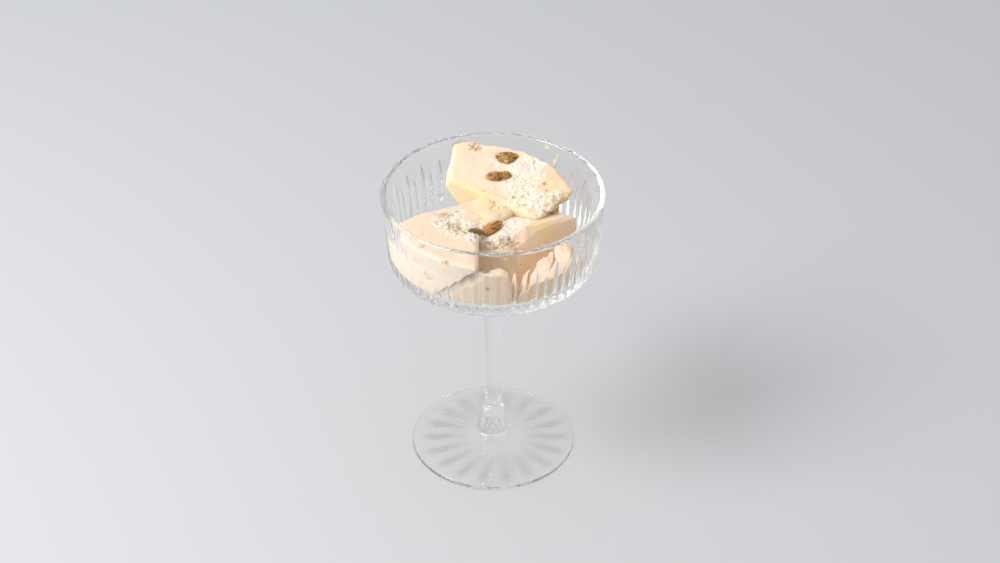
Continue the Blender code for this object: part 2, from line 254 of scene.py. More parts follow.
def foot_outline():
    """The foot's top, its round edge, the ring that it stands on and the hollow under it."""
    outline = curve(STEM_FOOT, (8.2 * MM, 8.4 * MM), (9.2 * MM, 8.1 * MM), 4)
    outline += curve(outline[-1], (20 * MM, 4.4 * MM), (38.7 * MM, 2.6 * MM), 14)
    outline += curve(outline[-1], (40.6 * MM, 2.3 * MM), (39.6 * MM, 0.3 * MM), 8)
    outline += curve(outline[-1], (39.3 * MM, 0), (38.6 * MM, 0), 3)
    outline += curve((37.4 * MM, 0), (36.8 * MM, 0), (36.2 * MM, 0.2 * MM), 3)
    outline += curve(outline[-1], (18 * MM, 2.6 * MM), (0, 4.8 * MM), 10)
    return outline


def turned(name, outline):
    """The outline is drawn point by point from a single vertex, then spun once round the axis."""
    start = outline[0]
    bpy.ops.mesh.primitive_plane_add(size=MM, location=(start[0], 0, start[1]))
    made = bpy.context.object
    made.name = name
    bpy.ops.object.transform_apply(location=True, rotation=True, scale=True)
    bpy.ops.object.mode_set(mode="EDIT")
    bpy.ops.mesh.select_mode(type="VERT")
    bpy.ops.mesh.select_all(action="SELECT")
    bpy.ops.mesh.merge(type="CENTER")
    for here, there in zip(outline, outline[1:]):
        step = (there[0] - here[0], 0, there[1] - here[1])
        bpy.ops.mesh.extrude_region_move(TRANSFORM_OT_translate={"value": step})
    bpy.ops.mesh.select_all(action="SELECT")
    bpy.ops.mesh.spin(steps=TURN_STEPS, angle=math.tau, center=(0, 0, 0), axis=(0, 0, 1))
    bpy.ops.object.mode_set(mode="OBJECT")
    merge_points(made)
    face_out(made)
    return made


def along(points, share):
    """The point at a share of the length of a broken line, and the way that it runs there."""
    points = [Vector(p) for p in points]
    steps = [(b - a).length for a, b in zip(points, points[1:])]
    left = share * sum(steps)
    for a, b, step in zip(points, points[1:], steps):
        if left <= step:
            return a.lerp(b, left / step), (b - a).normalized()
        left -= step
    return points[-1], (points[-1] - points[-2]).normalized()


def wheel(name, centres, radius):
    """The round tool that a cutting wheel sweeps: a bevelled curve made into a mesh."""
    sweep = bpy.data.curves.new(name, "CURVE")
    sweep.dimensions = "3D"
    sweep.bevel_depth = radius
    sweep.bevel_resolution = 8
    sweep.use_fill_caps = True
    spline = sweep.splines.new("POLY")
    spline.points.add(len(centres) - 1)
    for point, centre in zip(spline.points, centres):
        point.co = (*centre, 1)
    pick(add_object(name, sweep))
    bpy.ops.object.convert(target="MESH")
    made = bpy.context.object
    merge_points(made)
    face_out(made)
    return made


def flute_wheel(name, top, half_width, depth):
    """A flute's tool follows the wall and the corner, and leaves the glass at both ends."""
    lean = (RIM_RADIUS - WALL_BOTTOM[0]) / (HEIGHT - LIP_RADIUS - WALL_BOTTOM[1])
    head = (WALL_BOTTOM[0] + lean * (top - WALL_BOTTOM[1]), top)
    path = [head, WALL_BOTTOM]
    path += curve(WALL_BOTTOM, CORNER_PULL, UNDERSIDE, 12)
    path.append(FLUTE_END)
    radius = (half_width**2 + depth**2) / (2 * depth)
    centres = []
    for i in range(-2, FLUTE_STEPS + 2):
        share = min(max(i / FLUTE_STEPS, 0), 1)
        place, way = along(path, share)
        place += way * (i / FLUTE_STEPS - share) * TOOL_RUNS_ON
        grown = 1 - (1 - share / FLUTE_GROWS) ** 2 if share < FLUTE_GROWS else 1
        grown = max(0, min(grown, (1 - share) / FLUTE_FADES))
        out = Vector((-way.y, way.x))
        clear = math.sqrt(radius**2 - (half_width * grown) ** 2)
        if share in (0, 1):
            clear = radius + TOOL_CLEAR
        centre = place + out * clear
        centres.append((centre.x, 0, centre.y))
    return wheel(name, centres, radius)


def petal_wheel(name):
    """A petal's tool is a long lens whose back reaches a little into the hollow of the foot."""
    bpy.ops.mesh.primitive_uv_sphere_add(segments=48, ring_count=48, radius=1)
    made = bpy.context.object
    made.name = name
    made.scale = PETAL_LENS
    made.rotation_euler.y = PETAL_LEAN
    made.location = PETAL_PLACE
    bpy.ops.object.transform_apply(location=True, rotation=True, scale=True)
    return made


def cut(thing, tool, turns):
    """Cuts with copies of the tool at these angles, which stand clear of each other."""
    copies = [moved_copy(tool, Matrix.Rotation(angle, 4, "Z")) for angle in turns]
    tools = join(copies, tool.name + "_ring")
    add_modifier(thing, "BOOLEAN", operation="DIFFERENCE", solver="MANIFOLD", object=tools)
    bpy.data.objects.remove(tools)


def make_coupe():
    outline = hollow_outline() + lip_outline() + bowl_outline()[1:] + stem_outline()
    outline += foot_outline()
    coupe = turned("coupe", outline)
    step = math.tau / FLUTE_PAIRS
    tall = flute_wheel("tall_flute", *TALL_FLUTE)
    short = flute_wheel("short_flute", *SHORT_FLUTE)
    for tool, start in ((tall, 0.25), (short, 0.75)):
        for turn in (0, 1):
            cut(coupe, tool, [step * (i + start) for i in range(turn, FLUTE_PAIRS, 2)])
    petal = petal_wheel("petal")
    for turn in range(3):
        cut(coupe, petal, [math.tau * (i + 0.5) / PETALS for i in range(turn, PETALS, 3)])
    for tool in (tall, short, petal):
        bpy.data.objects.remove(tool)
    pick(coupe)
    bpy.ops.object.shade_smooth_by_angle(angle=SMOOTH_ANGLE)
    return coupe


# The kulfi

WALL_REACH = 0.12 * MM  # how far a block reaches into the wall where it wets the glass
WALL_CLEAR = 0.08 * MM  # how far it keeps off elsewhere
WET_BELT = [v * MM for v in (0, 114.5, 117, 128, 132, 200)]
WET_SHARES = [0, 0, 1, 1, 0, 0]
WET_PATCHES = 3 * MM
WET_RAGGED = 0.4 * MM
WET_FADE = 3 * MM
# Paler cream where a block wets the glass: partly the wet surface, partly painted light
WET_AND_LIT_LOOK = {"kulfi_left": 0.85, "kulfi_front": 0.5}

# How deep the flutes' bands of less light are on a block, and up to which height in mm
FLUTED = {"kulfi_left": (0.7, 122.5), "kulfi_front": (0.75, 136), "kulfi_low": (0.6, 130)}
BAND_FADE = 3 * MM

PRESS_DEPTH = 0.12 * MM  # how far a block is pushed into its neighbour
GROOVE_REACH = 3 * MM


def to_glass(block, wetting):
    """A block that lies close to the wall wets it, so that no air shows there; under and over
    the wet belt, and at the floor, it keeps just clear of the glass."""
    points = points_of(block)
    points[:, 2] = np.maximum(points[:, 2], FLOOR_Z + WALL_CLEAR)
    walls = wall_at(points[:, 2])
    belt = np.interp(points[:, 2], WET_BELT, WET_SHARES) if wetting else np.zeros(len(points))
    for i, (point, wall, wet) in enumerate(zip(points, walls, belt)):
        radius = math.hypot(point[0], point[1])
        close = wetting * wet + WET_RAGGED * wet * noise.noise(Vector(point) / WET_PATCHES)
        target = wall + WALL_REACH * wet - WALL_CLEAR * (1 - wet)
        if wall - radius < close or radius > target:
            points[i, :2] *= target / radius
    set_points(block, points)


def wetness(block):
    """For each point, 1 where it touches the wall and 0 from a little way off."""
    points = points_of(block)
    gaps = wall_at(points[:, 2]) - np.hypot(points[:, 0], points[:, 1])
    return np.clip(1 - gaps / WET_FADE, 0, 1)


def behind_flutes(block, depth, top):
    """The bands of less light that the flutes cast on what lies behind them, up to a height."""
    points = points_of(block)
    angles = np.arctan2(points[:, 1], points[:, 0])
    bands = 0.5 - 0.5 * np.cos(2 * FLUTE_PAIRS * angles)
    return depth * bands * np.clip((top * MM - points[:, 2]) / BAND_FADE, 0, 1)


def tree_over(block):
    """A tree of the block's faces, to find what lies near."""
    faces = [tuple(face.vertices) for face in block.data.polygons]
    return BVHTree.FromPolygons(points_of(block).tolist(), faces)


def press(block, other, reach):
    """Where two blocks lie close, the first is pushed just into the other, so that no gap shows."""
    tree = tree_over(other)
    points = points_of(block)
    for i, point in enumerate(points):
        near, normal, _, away = tree.find_nearest(Vector(point), reach)
        if near is None or (Vector(point) - near).dot(normal) < 0:
            continue
        way = (near - Vector(point)).normalized()
        share = min(1, (reach - away) / (0.5 * reach))
        points[i] += way * (away + PRESS_DEPTH) * share
    set_points(block, points)


def fill_groove(block, other):
    """Beside another block, the rounded edge at the wall is filled out to just short of it."""
    tree = tree_over(other)
    points = points_of(block)
    for i, (point, wall) in enumerate(zip(points, wall_at(points[:, 2]))):
        radius = math.hypot(point[0], point[1])
        gap = wall - WALL_CLEAR - radius
        if not 0 < gap < 2 * GROOVE_REACH or point[2] < INNER_CORNER[1]:
            continue
        away = tree.find_nearest(Vector(point), GROOVE_REACH)[3]
        if away is not None:
            share = min(1, 1.5 * (1 - away / GROOVE_REACH)) * min(1, 2 - gap / GROOVE_REACH)
            points[i, :2] *= 1 + gap * share / radius
    set_points(block, points)


PATCH_END = 1.15  # in radii
PATCH_EDGE = 0.35
RAGGED = ((0.5, 2.2), (0.28, 0.8))  # strength and size in mm of what makes an edge ragged


def weights_of(thing, patches, ragged):
    """Weights that are full inside patches and ragged at their edge."""
    points = points_of(thing) / MM
    weights = np.zeros(len(points))
    for x, y, z, radius in patches:
        away = np.linalg.norm(points - (x, y, z), axis=1) / radius + ragged
        weights = np.maximum(weights, np.clip((PATCH_END - away) / PATCH_EDGE, 0, 1))
    return weights


def weigh(thing, name, patches, ragged):
    """The weights as a vertex group, which shapes the block, and as a mask, which colours it."""
    weights = weights_of(thing, patches, ragged)
    group = thing.vertex_groups.new(name=name)
    for i in np.flatnonzero(weights > 0.01):
        group.add([int(i)], float(weights[i]), "REPLACE")
    store(thing, name, weights)


def store(thing, name, values):
    layer = thing.data.attributes.new(name + "_mask", "FLOAT", "POINT")
    layer.data.foreach_set("value", np.asarray(values, np.float32))


def clouds(name, size):
    made = bpy.data.textures.get(name) or bpy.data.textures.new(name, "CLOUDS")
    made.noise_scale = size
    return made


# Patches on the blocks, as x, y, z and radius in mm

# White with frost
FROST = {
    "kulfi_top": [
        (13, 30, 140.5, 7), (17, 25, 139, 7), (10, 19, 138, 6.5), (15, 15, 136.5, 6.5),
        (14, 9, 135, 6), (22, 9, 135, 6), (4, 33, 141, 4.5), (20, 33, 140.5, 6),
        (24, 7, 133.7, 5), (29, 13, 135, 4),
    ],
    "kulfi_left": [
        (-24, -11, 137, 5), (-20, -13, 137, 6), (-14, -13, 136, 6), (-17, -20, 137, 5),
        (-9, -22, 136, 5), (-16, -3, 136, 4.5),
    ],
    "kulfi_right": [
        (-1, -17, 131.5, 4), (4, -15, 131.8, 5), (8, -8, 131.6, 5.5), (13, -4, 131, 5),
        (22.8, -13, 122, 3.4), (5, -19.5, 130.6, 3),
    ],
    "kulfi_back": [],
    "kulfi_front": [],
    "kulfi_low": [(14, -38, 127, 3), (23, -16, 123, 3)],
}

# Broken into crumbs
CRUMBLY = {
    "kulfi_top": [
        (22, 4, 133, 5), (26, 6, 133, 5), (29, 10, 134, 4), (20, 30, 140, 4), (15, 13, 136, 4),
        (-8.5, 41.5, 144.5, 3), (10, 22, 138.6, 4), (33, 14, 133, 3),
    ],
    "kulfi_left": [
        (-21, -12, 137, 6), (-15, -13, 136, 6), (-18, -19, 137, 4.5), (-10, -21, 136, 4.5),
        (-22, -6, 136.5, 4), (0, 5, 134.4, 3), (-8, -12, 135.2, 5),
    ],
    "kulfi_right": [
        (5, -18, 131, 4.5), (9, -17, 131, 4), (1, -19.5, 131, 4), (-4, -19, 131, 4),
        (22.8, -13, 122, 4), (8, -9, 131.6, 3),
    ],
    "kulfi_back": [(30, 16, 126, 6)],
    "kulfi_front": [],
    "kulfi_low": [(24, -18, 123, 5), (32, -14, 123, 5), (39, -12, 122, 4)],
}

# Full of ground pistachio, and painted shade: the back block, which lies in shade, and the right
# block's recess are browned too
NUT_AND_SHADE_PATCHES = {
    "kulfi_top": [
        (-8, 41.5, 144.6, 3), (26, 5.5, 133, 3.4), (31, 11, 133.5, 3), (25.9, 15.6, 136, 1.4),
        (9.9, 11.1, 135.7, 1.2), (24.5, 20.3, 137.4, 1.3), (15, 6.7, 134.1, 1.3),
    ],
    "kulfi_left": [
        (-22.5, -5.5, 136.5, 3.2), (-18, -14.5, 136, 4.2), (-14, -19, 136, 3),
        (-30.9, -33.3, 139, 1.6), (-20.3, -43.9, 138.1, 1.6), (-28.3, -37.1, 126.2, 2.2),
    ],
    "kulfi_right": [
        (6, -17.5, 131, 3.6), (6.5, -19, 130.4, 3.4), (-2, -21, 129.5, 4.4), (9, -20, 129, 3),
    ],
    "kulfi_back": [(30, 16, 126, 9)],
    "kulfi_front": [(-2, -46.5, 125.7, 1.5)],
    "kulfi_low": [],
}

# Painted shade: a deeper cream on faces that get less light
DEEPER_IN_SHADE = {
    "kulfi_top": [
        (-19, 21, 135, 4.5), (-13, 17.5, 135.5, 4.5), (-7, 14.5, 135.5, 4.5),
        (-1, 11.5, 135.2, 4.5), (5, 8, 134, 5), (11, 5, 133, 4.5), (31, 14, 135, 9),
        (26, 22, 138, 7),
    ],
    "kulfi_left": [(-10, 2, 135, 6), (-3, 3, 134.5, 7), (5, 1, 134, 7), (-2, -4, 134.5, 6)],
    "kulfi_right": [(21, -3, 131, 7)],
}

# Painted shade: darker patches in the recesses, which lie in dimmer light
PAINTED_SHADE_PATCHES = {
    "kulfi_right": [(-4, -24, 128, 7), (3, -27, 124, 9), (6, -19, 130, 4.5), (8, -34, 118, 8)],
    "kulfi_low": [(10, -38, 118, 5)],
}


# Relief: size of its clouds in mm, strength in mm, middle level, and the patches that it keeps to
RELIEF = (
    ("swell", 9, 0.8, 0.5, ""),
    ("lumps", 1.9, 2.5, 0.58, "crumb"),
    ("fluff", 1.3, 1, 0.42, "frost"),
    ("grit", 0.7, 0.2, 0.5, ""),
)

# Painted light: faces that look this way, up and towards the lamp, are made paler, and so is the
# block that wets the glass
PAINTED_LIT_SIDE = (-0.35, -0.1, 0.93)
WETTING_PAINTED_PALER = 5 * MM


def remeshed(solid, name, cells, rounds, grown):
    """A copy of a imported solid, finely meshed, rounded and a little larger."""
    made = add_object(name, solid.data.copy())
    merge_points(made)
    made.data.materials.clear()
    add_modifier(made, "REMESH", mode="VOXEL", voxel_size=cells, adaptivity=0)
    add_modifier(made, "SMOOTH", factor=0.5, iterations=rounds)
    add_modifier(made, "DISPLACE", strength=grown, mid_level=0)
    return made


def make_block(solid, cells, rounds, grown, wetting):
    """A kulfi block: the solid's shape, finely meshed, with cut faces, crumbly spots and frost."""
    block = remeshed(solid, solid.name + "_block", cells, rounds, grown)
    ragged = []
    for point in points_of(block):
        here = Vector(point) / MM
        ragged.append(sum(strength * noise.noise(here / size) for strength, size in RAGGED))
    ragged = np.array(ragged)
    # The nut mask also holds painted shade on the back block and in the right block's recess
    for name, patches in (("frost", FROST), ("crumb", CRUMBLY), ("nut", NUT_AND_SHADE_PATCHES)):
        weigh(block, name, patches[solid.name], ragged)
    painted_shade = weights_of(block, PAINTED_SHADE_PATCHES.get(solid.name, []), 0)
    # Painted shade: these faces keep a deeper cream
    painted_deeper = weights_of(block, DEEPER_IN_SHADE.get(solid.name, []), ragged * 0.4)
    for name, size, strength, middle, group in RELIEF:
        add_modifier(
            block, "DISPLACE", texture=clouds(name, size * MM), strength=strength * MM,
            mid_level=middle, vertex_group=group,
        )
    to_glass(block, wetting)
    # Painted light: faces turned to the lamp and the wetting block are made paler, less so in the
    # patches of painted shade
    pale = 0.2 + 0.85 * (normals_of(block) @ np.array(PAINTED_LIT_SIDE)) + wetting / WETTING_PAINTED_PALER
    store(block, "pale", np.clip(pale - 0.75 * painted_deeper, 0, 1))
    # Paler where it wets the glass: partly the wet surface, partly painted light
    wet = wetness(block)
    store(block, "wet", WET_AND_LIT_LOOK.get(solid.name, 0) * wet)
    # Painted shade: the recesses and the flutes' bands of less light, in one mask
    banded = wet * behind_flutes(block, *FLUTED.get(solid.name, (0, 0)))
    store(block, "painted_shade", np.maximum(painted_shade, banded))
    smooth(block)
    return block


# Crumbs and specks

GRAIN_BUMPS = (0.78, 1.12)  # shares of the radius
FACES_UP = -0.2  # crumbs lie where the normal points no further down than this
LIFT = 0.3 * MM
CLEAR_ABOVE = 2 * MM  # nothing may lie over a crumb so close


def make_grain(name, detail, chance):
    """A model of one crumb, 1 mm across, with its points pushed in and out."""
    bpy.ops.mesh.primitive_ico_sphere_add(subdivisions=detail, radius=0.5 * MM)
    grain = bpy.context.object
    grain.name = name
    points = points_of(grain)
    for i in range(len(points)):
        points[i] *= chance.uniform(*GRAIN_BUMPS)
    set_points(grain, points)
    return grain


def surface_of(block):
    """The block's faces: their middles, normals and areas, and a tree to find what lies near."""
    mesh = block.data
    count = len(mesh.polygons)
    middles, normals, areas = np.empty(count * 3), np.empty(count * 3), np.empty(count)
    mesh.polygons.foreach_get("center", middles)
    mesh.polygons.foreach_get("normal", normals)
    mesh.polygons.foreach_get("area", areas)
    corners = np.empty(len(mesh.loops), np.int32)
    mesh.loops.foreach_get("vertex_index", corners)
    corners = corners.reshape(count, -1)
    masks = {}
    for name in ("frost", "crumb", "nut"):
        values = np.empty(len(mesh.vertices), np.float32)
        mesh.attributes[name + "_mask"].data.foreach_get("value", values)
        masks[name] = values[corners].mean(axis=1)
    return middles.reshape(-1, 3), normals.reshape(-1, 3), areas, masks, tree_over(block)


def places_on(surface, others, odds, count, chance):
    """Random places and normals on a surface, by odds per face, where nothing lies over them."""
    middles, normals, areas, _, _ = surface
    wanted = np.cumsum(areas * odds).tolist()
    if not count or not wanted[-1]:
        return
    found = chance.choices(range(len(areas)), cum_weights=wanted, k=count)
    for face in found:
        place, normal = Vector(middles[face]), Vector(normals[face])
        start = place + normal * LIFT
        if not any(tree.ray_cast(start, normal, CLEAR_ABOVE)[0] for tree in others):
            yield place, normal


def scatter(name, grains, places, sizes, sink, chance):
    """Copies of the grains, each part sunk where it lies, joined into one piece. The sizes are the
    smallest and largest in mm and how rare large ones are, and the sinking is in sizes."""
    made = []
    low, high, power = sizes
    for place, normal in places:
        size = low + (high - low) * chance.random() ** power
        turn = Matrix.Rotation(chance.uniform(0, math.tau), 4, "Z")
        tip = Vector([chance.uniform(-1, 1) for _ in range(3)]).to_track_quat("Z", "Y")
        squash = Matrix.Diagonal((size, size * chance.uniform(0.6, 1), size * 0.7, 1))
        spot = place + normal * MM * size * chance.uniform(*sink)
        laid = Matrix.Translation(spot) @ tip.to_matrix().to_4x4() @ turn @ squash
        made.append(moved_copy(chance.choice(grains), laid))
    piece = join(made, name)
    smooth(piece)
    return piece


# How many crumbs lie on the frost, and how many specks lie apart and in the nutty patches
FROST_CRUMBS = {"kulfi_top": 340, "kulfi_left": 320, "kulfi_right": 200, "kulfi_low": 40}
FINE_TO_LARGE = 8
NUT_SPECKS = {
    "kulfi_top": (90, 16), "kulfi_left": (60, 26), "kulfi_right": (70, 80), "kulfi_back": (20, 24),
    "kulfi_front": (16, 3), "kulfi_low": (20, 0),
}


def scatter_crumbs(blocks, crumb_skin, nut_skin):
    chance = random.Random(11)
    surfaces = {name: surface_of(block) for name, block in blocks.items()}
    fine = [make_grain(f"fine_grain_{i}", 1, chance) for i in range(4)]
    full = [make_grain(f"full_grain_{i}", 2, chance) for i in range(4)]
    small, large, nuts = [], [], []
    for name, surface in surfaces.items():
        others = [s[-1] for other, s in surfaces.items() if other != name]
        _, normals, _, masks, _ = surface
        upward = normals[:, 2] > FACES_UP
        frosty = np.maximum(masks["frost"] ** 3, 0.15 * masks["crumb"]) * upward
        frosty *= 1 - masks["nut"]
        count = FROST_CRUMBS.get(name, 0)
        small += places_on(surface, others, frosty, count, chance)
        large += places_on(surface, others, frosty, count // FINE_TO_LARGE, chance)
        apart, together = NUT_SPECKS[name]
        nuts += places_on(surface, others, upward.astype(float), apart, chance)
        nutty = (masks["nut"] + 0.05 * masks["crumb"]) * upward
        nuts += places_on(surface, others, nutty, together, chance)
    for name, grains, places, sizes, sink, skin, slot in (
        ("fine_crumbs", fine, small, (0.6, 1.6, 1.4), (-0.45, -0.3), crumb_skin, "kulfi_cream"),
        ("crumbs", full, large, (1.1, 2.5, 1.6), (-0.45, -0.25), crumb_skin, "kulfi_cream"),
        ("nut_specks", full, nuts, (0.3, 0.9, 2), (-0.3, 0), nut_skin, "pistachio_skin"),
    ):
        show(scatter(name, grains, places, sizes, sink, chance), skin, slot)
    for grain in fine + full:
        bpy.data.objects.remove(grain)


# The sultanas and the kernel

FRUIT_CELLS = 0.15 * MM
FRUIT_ROUNDS = 8
FRUIT_GROWN = 0.3 * MM
WAIST = (0.6, 1.4)  # its place along the fruit, and its width, in mm
HALF_LONG = 5.4


def valley(place, narrow):
    """1 along the lines where the noise is nothing, falling to 0 beside them."""
    return max(0, 1 - abs(noise.noise(place)) * narrow)


def make_fruit(solid, heading, folds, depth, waist, moon):
    """A dried fruit: the solid's shape with deep folds along it and fine wrinkles. A waist gives
    it two lobes, and a moon a flat back edge and a pointed front."""
    fruit = remeshed(solid, solid.name + "_fruit", FRUIT_CELLS, FRUIT_ROUNDS, FRUIT_GROWN)
    low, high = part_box(solid.name)
    middle = (low + high) / 2
    turn = Matrix.Rotation(-math.radians(heading), 3, "Z")
    normals = normals_of(fruit)
    points = points_of(fruit)
    for i, point in enumerate(points):
        here = turn @ (Vector(point) - middle) / MM
        seed = Vector((here.x * 0.4, here.y, here.z)) + Vector((middle.x, middle.y, 0)) / MM
        fold = valley(seed * 0.5 * folds, 3)
        fine = valley(seed * 1.25 * folds, 2.6)
        moved = Vector(normals[i]) * depth * (0.3 - 0.8 * fold**2 - 0.35 * fine**2)
        pinch = 1 - waist * math.exp(-((here.x - WAIST[0]) / WAIST[1]) ** 2)
        here.y *= pinch
        here.z *= pinch
        share = min(1, abs(here.x) / HALF_LONG)
        if here.y < 0:
            here.y *= 1 + moon * (0.5 - 1.1 * share)
        else:
            here.y *= 1 - 0.45 * moon
        points[i] = middle + turn.inverted() @ here * MM + moved
    set_points(fruit, points)
    smooth(fruit)
    return fruit


# Materials. Patterns lie in object coordinates, so their scales are counts per metre.

FLOAT = "NodeSocketFloat"
COLOUR = "NodeSocketColor"
VECTOR = "NodeSocketVector"

# Painted light: a lit and a shaded copy of the cream, mixed by the painted light mask and by random
# blotches
LIT_SIDE_CREAM = (0.95, 0.72, 0.54, 1)
SHADE_SIDE_CREAM = (0.945, 0.7, 0.42, 1)
# Partly the wet surface, partly painted light
WET_AND_LIT_CREAM = (0.96, 0.8, 0.66, 1)
FROST_WHITE = (0.96, 0.85, 0.72, 1)
# The brown of ground pistachio, also used as painted shade on the back block and in the right
# block's recess
NUT_AND_SHADE_TINT = (0.42, 0.27, 0.12, 1)
# Painted shade: the tint of the recesses and of the flutes' bands of less light
PAINTED_SHADE_TINT = (0.8, 0.84, 0.84, 1)
MILK_DEPTHS = (0.9, 0.65, 0.32)  # how far red, green and blue light go in
SKIN_DEPTHS = (1, 0.4, 0.1)
GROUND_NUTS = (
    # cells per metre, share of them that hold a speck, size of a speck, tint
    (420, 0.04, 0.14, (0.46, 0.34, 0.15, 1)),
    (800, 0.04, 0.12, (0.38, 0.26, 0.11, 1)),
)
CRUMB_TONES = [
    (0.3, (0.95, 0.79, 0.62, 1)), (0.44, (0.96, 0.84, 0.7, 1)), (0.6, (0.97, 0.89, 0.78, 1)),
]
NUT_TONES = [
    (0.35, (0.2, 0.13, 0.05, 1)), (0.48, (0.4, 0.31, 0.13, 1)), (0.58, (0.52, 0.36, 0.17, 1)),
    (0.7, (0.36, 0.22, 0.09, 1)),
]
FILM_TONES = [(0.35, (0.85, 0.74, 0.42, 1)), (0.65, (0.95, 0.9, 0.76, 1))]
SKIN_TONES = {
    # light and dark tones, mixed in random patches
    "sultana_skin": ((0.72, 0.37, 0.05, 1), (0.22, 0.09, 0.008, 1)),
    "light_sultana_skin": ((0.74, 0.35, 0.05, 1), (0.38, 0.15, 0.018, 1)),
    "pistachio_skin": ((0.32, 0.2, 0.018, 1), (0.14, 0.085, 0.008, 1)),
}
GLASS_TINT = (0.985, 0.99, 0.985, 1)
TABLE_GREY = (0.582, 0.589, 0.61, 1)
FOOT_TOP = 6 * MM
BAND_RING = 50 * MM  # the ends of the petals' bands are shares of this radius


def start_material(name):
    """A new material, its node tree and its shader."""
    material = bpy.data.materials.new(name)
    material.use_nodes = True
    return material, material.node_tree, material.node_tree.nodes["Principled BSDF"]


def feed(made, inputs):
    """Gives a node its inputs: a socket is linked, anything else is a value."""
    for name, value in inputs.items():
        socket = made.inputs[name]
        if isinstance(value, bpy.types.NodeSocket):
            made.id_data.links.new(value, socket)
        else:
            socket.default_value = value


def node(tree, kind, inputs=None, **settings):
    made = tree.nodes.new("ShaderNode" + kind)
    for name, value in settings.items():
        setattr(made, name, value)
    feed(made, inputs or {})
    return made


def ramp(tree, factor, stops):
    made = node(tree, "ValToRGB", {"Fac": factor})
    elements = made.color_ramp.elements
    while len(elements) < len(stops):
        elements.new(0.5)
    for element, (place, colour) in zip(elements, stops):
        element.position = place
        element.color = colour
    return made.outputs["Color"]


def grey(value):
    return (value, value, value, 1)


def mix(tree, factor, first, second, blend="MIX"):
    made = node(tree, "Mix", data_type="RGBA", blend_type=blend)
    at = {socket.identifier: i for i, socket in enumerate(made.inputs)}
    feed(made, {at["Factor_Float"]: factor, at["A_Color"]: first, at["B_Color"]: second})
    return next(s for s in made.outputs if s.identifier == "Result_Color")


def tinted(tree, colour, tint):
    return mix(tree, 1.0, colour, tint, "MULTIPLY")


def math_node(tree, operation, *values, clamp=False):
    made = node(tree, "Math", dict(enumerate(values)), operation=operation, use_clamp=clamp)
    return made.outputs[0]


def times(tree, first, second):
    return math_node(tree, "MULTIPLY", first, second)


def above(tree, value, start, slope):
    """How far a value is above a start, times a slope."""
    return times(tree, math_node(tree, "SUBTRACT", value, start), slope)


def place_on(tree):
    return node(tree, "TexCoord").outputs["Object"]


def noise_on(tree, place, scale, detail):
    made = node(tree, "TexNoise", {"Vector": place, "Scale": scale, "Detail": detail})
    return made.outputs["Fac"]


def mask_on(tree, name):
    return node(tree, "Attribute", attribute_name=name + "_mask").outputs["Fac"]


def broken_mask(tree, name, grain, start, slope, most):
    """A piece's mask, broken up by a grain."""
    parts = above(tree, grain, start, slope)
    parts.node.use_clamp = True
    return times(tree, times(tree, mask_on(tree, name), parts), most)


def relief(tree, shader, height, strength, distance):
    bump = node(tree, "Bump", {"Height": height, "Strength": strength, "Distance": distance})
    feed(shader, {"Normal": bump.outputs["Normal"]})


def group_start(name, inputs, outputs):
    group = bpy.data.node_groups.new(name, "ShaderNodeTree")
    for label, kind, value in inputs:
        socket = group.interface.new_socket(label, in_out="INPUT", socket_type=kind)
        if value is not None:
            socket.default_value = value
    for label, kind in outputs:
        group.interface.new_socket(label, in_out="OUTPUT", socket_type=kind)
    start = group.nodes.new("NodeGroupInput")
    end = group.nodes.new("NodeGroupOutput")
    return group, start.outputs, end


def specks_group():
    """Scattered specks of ground nut: a mask from the few cells that hold one."""
    group, given, end = group_start(
        "ground_nut",
        inputs=[
            ("Place", VECTOR, None), ("Cells", FLOAT, 500), ("Share", FLOAT, 0.1),
            ("Size", FLOAT, 0.2),
        ],
        outputs=[("Mask", FLOAT)],
    )
    cells = node(group, "TexVoronoi", {"Vector": given["Place"], "Scale": given["Cells"]})
    wobble = times(group, noise_on(group, given["Place"], scale=2600, detail=1), 0.25)
    distance = math_node(group, "ADD", cells.outputs["Distance"], wobble)
    picked = node(group, "SeparateColor", {"Color": cells.outputs["Color"]}).outputs
    chosen = math_node(group, "LESS_THAN", picked["Red"], given["Share"])
    size = math_node(group, "ADD", 0.12, times(group, picked["Green"], given["Size"]))
    inside = math_node(group, "SUBTRACT", size, distance)
    soft = math_node(group, "MULTIPLY", inside, 12, clamp=True)
    feed(end, {"Mask": times(group, soft, chosen)})
    return group


def cream_group():
    """Mottled milk colour: slow blotches and a fine grain, with painted light: the given lit share
    moves it from the shaded cream towards the lit cream.
    """
    group, given, end = group_start(
        "set_milk",
        inputs=[
            ("Place", VECTOR, None), ("Lit_share", FLOAT, 0.5), ("Light", COLOUR, None),
            ("Deep", COLOUR, None),
        ],
        outputs=[("Color", COLOUR), ("Grain", FLOAT)],
    )
    slow = noise_on(group, given["Place"], scale=90, detail=3)
    grain = noise_on(group, given["Place"], scale=1300, detail=4)
    share = math_node(group, "ADD", above(group, slow, 0.5, 1.6), given["Lit_share"], clamp=True)
    blotched = mix(group, share, given["Deep"], given["Light"])
    shade = ramp(group, grain, [(0.3, grey(0.94)), (0.7, grey(1))])
    feed(end, {"Color": tinted(group, blotched, shade), "Grain": grain})
    return group


def milky(shader, weight, scale):
    """Light enters what is made of milk and comes out a little warmer."""
    feed(shader, {
        "Subsurface Weight": weight, "Subsurface Radius": MILK_DEPTHS, "Subsurface Scale": scale,
        "Specular IOR Level": 0.35,
    })


